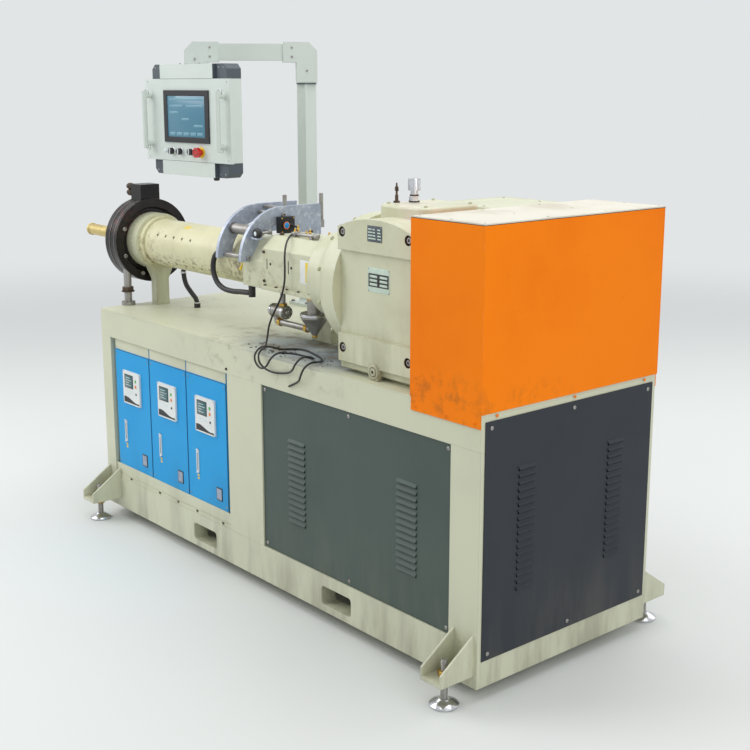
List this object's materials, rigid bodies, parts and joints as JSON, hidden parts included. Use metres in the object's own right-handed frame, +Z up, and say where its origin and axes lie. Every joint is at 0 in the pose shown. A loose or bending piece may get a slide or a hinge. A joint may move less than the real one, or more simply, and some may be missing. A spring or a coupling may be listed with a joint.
{
  "type": "cold-feed rubber extruder on a welded base",
  "caption": "Cold-feed rubber extruder: barrel, gearbox and belt cover on a deck over temperature units, with an operator panel on a swivelling arm.",
  "frame": {"origin": "middle of the assembly's footprint on the floor", "axes": "+X along the machine towards the drive end, +Y away from the operator, +Z up"},
  "size_m": [2.77, 1.05, 1.963],
  "materials": {
    "bare_steel": "turned steel with light rust",
    "control_black": "moulded",
    "controller_white": "satin moulded front",
    "cover_orange": "smooth semi-gloss enamel",
    "end_grey": "fine-texture powder coat",
    "foot_chrome": "polished",
    "frame_cream": "semi-gloss sprayed enamel, worn on the deck",
    "hose_black": "smooth rubber cover",
    "lid_pale": "dusty pale enamel",
    "louvre_grey": "fine-texture powder coat",
    "machine_cream": "enamel over rough casting",
    "nozzle_pale": "turned, heat-stained",
    "panel_dark": "moulded corner pieces",
    "panel_light": "satin powder coat",
    "plate_aluminium": "brushed, lightly scratched",
    "ring_black": "oily blackened steel",
    "screen_black": "glossy bezel with a glass display",
    "stop_red": "gloss moulded",
    "unit_blue": "smooth semi-gloss enamel"
  },
  "bodies": {
    "base": {"front_bottom_rail": "frame_cream", "back_bottom_rail": "frame_cream", "front_top_rail": "frame_cream", "back_top_rail": "frame_cream", "front_posts": "frame_cream", "back_posts": "frame_cream", "left_end_rails": "frame_cream", "right_end_rails": "frame_cream", "left_end_panel": "end_grey", "right_end_panel": "end_grey", "front_louvre_panel": "louvre_grey", "back_louvre_panels": "louvre_grey", "deck_plate": "frame_cream", "floor_pan": "frame_cream", "foot_brackets": "frame_cream", "levelling_feet": "foot_chrome", "temperature_unit_1": "unit_blue", "temperature_unit_2": "unit_blue", "temperature_unit_3": "unit_blue", "control_plates": "controller_white", "sight_gauges": "controller_white", "unit_tray": "frame_cream", "gearbox_body": "machine_cream", "gearbox_cover": "machine_cream", "breather": "foot_chrome", "motor_cover": "cover_orange", "cover_lid": "lid_pale", "motor_housing": "machine_cream", "drive_guard": "machine_cream", "drum_flange": "machine_cream", "feed_section": "machine_cream", "left_cheek_plate": "plate_aluminium", "right_cheek_plate": "plate_aluminium", "tie_rods": "bare_steel", "guard_rods": "bare_steel", "gate_switch": "control_black", "feed_fittings": "bare_steel", "coolant_hoses": "hose_black", "sensor_cable": "hose_black", "barrel": "machine_cream", "barrel_flange": "machine_cream", "clamp_ring": "ring_black", "swing_clamp": "ring_black", "die_head": "nozzle_pale", "ring_jack": "bare_steel", "panel_post": "panel_light"},
    "arm": {"arm_elbow": "panel_light", "arm_tube": "panel_light", "panel_elbow": "panel_light"},
    "panel": {"panel_housing": "panel_light", "panel_caps": "panel_light", "panel_corners": "panel_dark", "touch_screen": "screen_black", "panel_grips": "panel_light", "selector_knobs": "control_black", "emergency_button": "stop_red"},
    "roller": {"guide_roller": "bare_steel"}
  },
  "joints": [
    {"name": "arm_swing", "type": "hinge", "parent": "base", "child": "arm", "pos_m": [-0.369, 0.325, 1.803], "axis": [0, 0, 1], "range_deg": [-90, 90]},
    {"name": "panel_swivel", "type": "hinge", "parent": "arm", "child": "panel", "pos_m": [-0.61627, -0.04858, 1.876], "axis": [0, 0, 1], "range_deg": [-90, 90]},
    {"name": "roller_spin", "type": "hinge", "parent": "base", "child": "roller", "pos_m": [-0.024, -0.23316, 1.27439], "axis": [1, 0, 0], "continuous": true}
  ]
}
